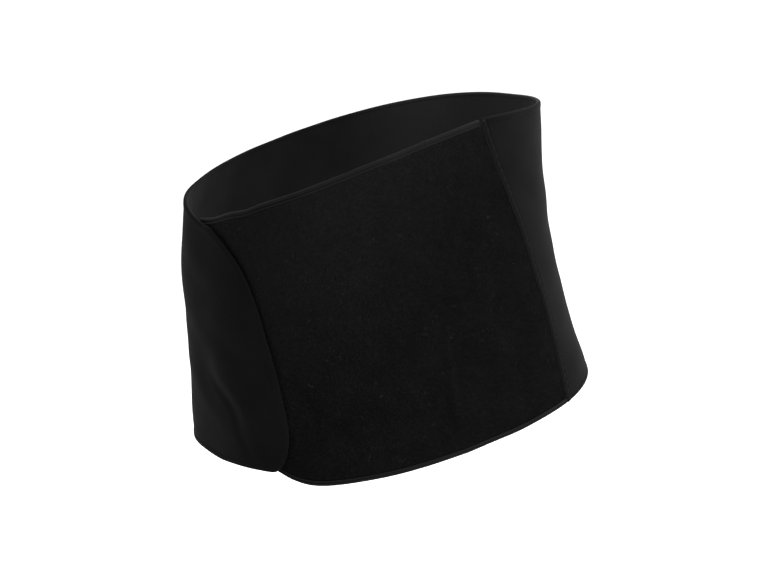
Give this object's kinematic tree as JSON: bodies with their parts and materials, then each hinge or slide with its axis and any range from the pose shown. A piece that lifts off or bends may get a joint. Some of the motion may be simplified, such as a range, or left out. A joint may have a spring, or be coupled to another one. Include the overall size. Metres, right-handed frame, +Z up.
{
  "type": "maternity support belt",
  "caption": "Broad closed cloth wrap with a tall front panel, a slanted side seam and a rounded flap that fastens over it.",
  "frame": {"origin": "on the middle line of the wearer's body, level with the belt's lower edge", "axes": "+Z up along the body, -Y out of the belly, +X towards the wearer's left"},
  "size_m": [0.3171, 0.2338, 0.2439],
  "materials": {
    "smooth_cloth": "smooth knitted face on a stretch laminate, matt",
    "pile_cloth": "short looped pile, brushed, very matt",
    "edge_cloth": "smooth stretch binding, matt",
    "seam_cloth": "flat overlocked seam, matt",
    "hook_tape": "moulded hook tape"
  },
  "bodies": {
    "root": {"body_band": "smooth_cloth", "front_panel": "pile_cloth", "top_edge_binding": "edge_cloth", "bottom_edge_binding": "edge_cloth", "side_seam": "seam_cloth", "hook_patch": "hook_tape"}
  },
  "joints": []
}
